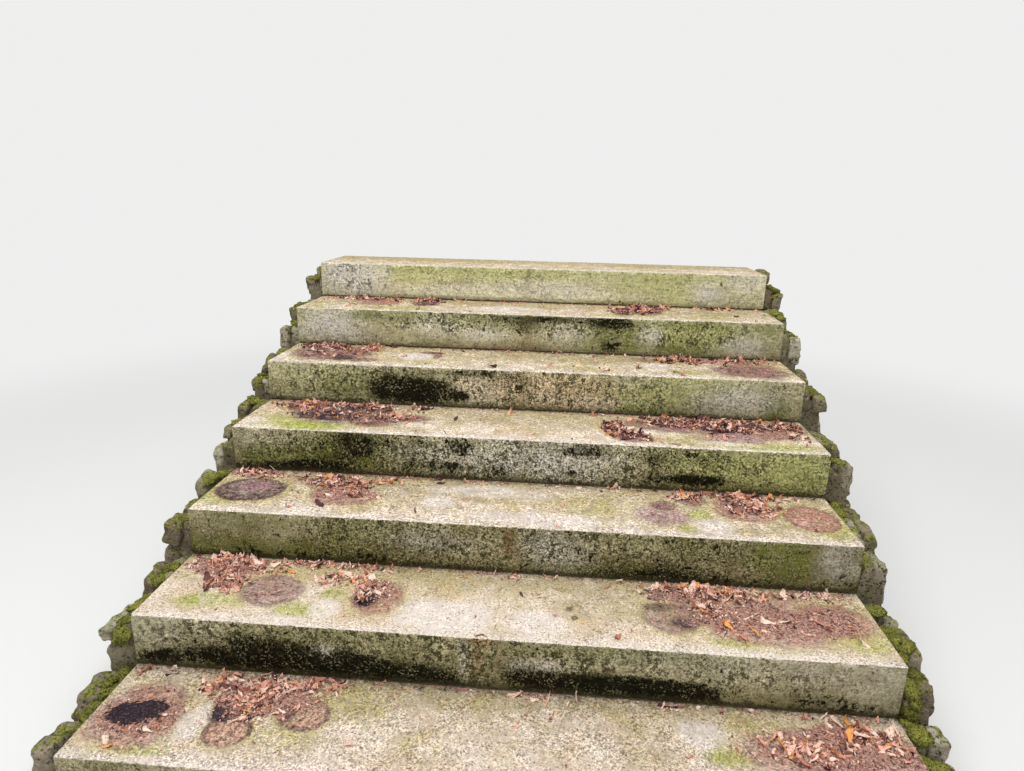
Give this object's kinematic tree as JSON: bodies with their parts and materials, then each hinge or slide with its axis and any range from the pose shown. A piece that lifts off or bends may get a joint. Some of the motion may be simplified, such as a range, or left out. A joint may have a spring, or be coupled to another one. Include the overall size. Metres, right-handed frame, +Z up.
{
  "type": "outdoor stone steps",
  "caption": "Straight flight of outdoor stone steps in long block steps, butted at a middle joint, on mossy rubble flank walls with a ragged crown.",
  "frame": {"origin": "on the ground, under the middle of the flight's plan", "axes": "+X across the flight to the right as one climbs, +Y up the flight towards the landing, +Z up"},
  "size_m": [2.255, 2.27, 1.085],
  "materials": {
    "block_stone": "fine-grained pale block step, worn, with green algae and dark lichen",
    "mortar": "rough lime mortar, stained and partly washed out",
    "rubble_stone": "random rubble in mortar with moss on its crown",
    "core_rubble": "hidden packed rubble and mortar"
  },
  "bodies": {
    "root": {"step_1_left": "block_stone", "step_2_left": "block_stone", "step_3_left": "block_stone", "step_4_left": "block_stone", "step_5_left": "block_stone", "step_6_left": "block_stone", "step_7_left": "block_stone", "step_1_right": "block_stone", "step_2_right": "block_stone", "step_3_right": "block_stone", "step_4_right": "block_stone", "step_5_right": "block_stone", "step_6_right": "block_stone", "step_7_right": "block_stone", "mortar_joint_1": "mortar", "mortar_joint_2": "mortar", "mortar_joint_3": "mortar", "mortar_joint_4": "mortar", "mortar_joint_5": "mortar", "mortar_joint_6": "mortar", "mortar_joint_7": "mortar", "mortar_bed_1": "mortar", "mortar_bed_2": "mortar", "mortar_bed_3": "mortar", "mortar_bed_4": "mortar", "mortar_bed_5": "mortar", "mortar_bed_6": "mortar", "mortar_bed_7": "mortar", "left_flank_wall": "rubble_stone", "right_flank_wall": "rubble_stone", "back_wall": "rubble_stone", "rubble_core": "core_rubble"}
  },
  "joints": []
}
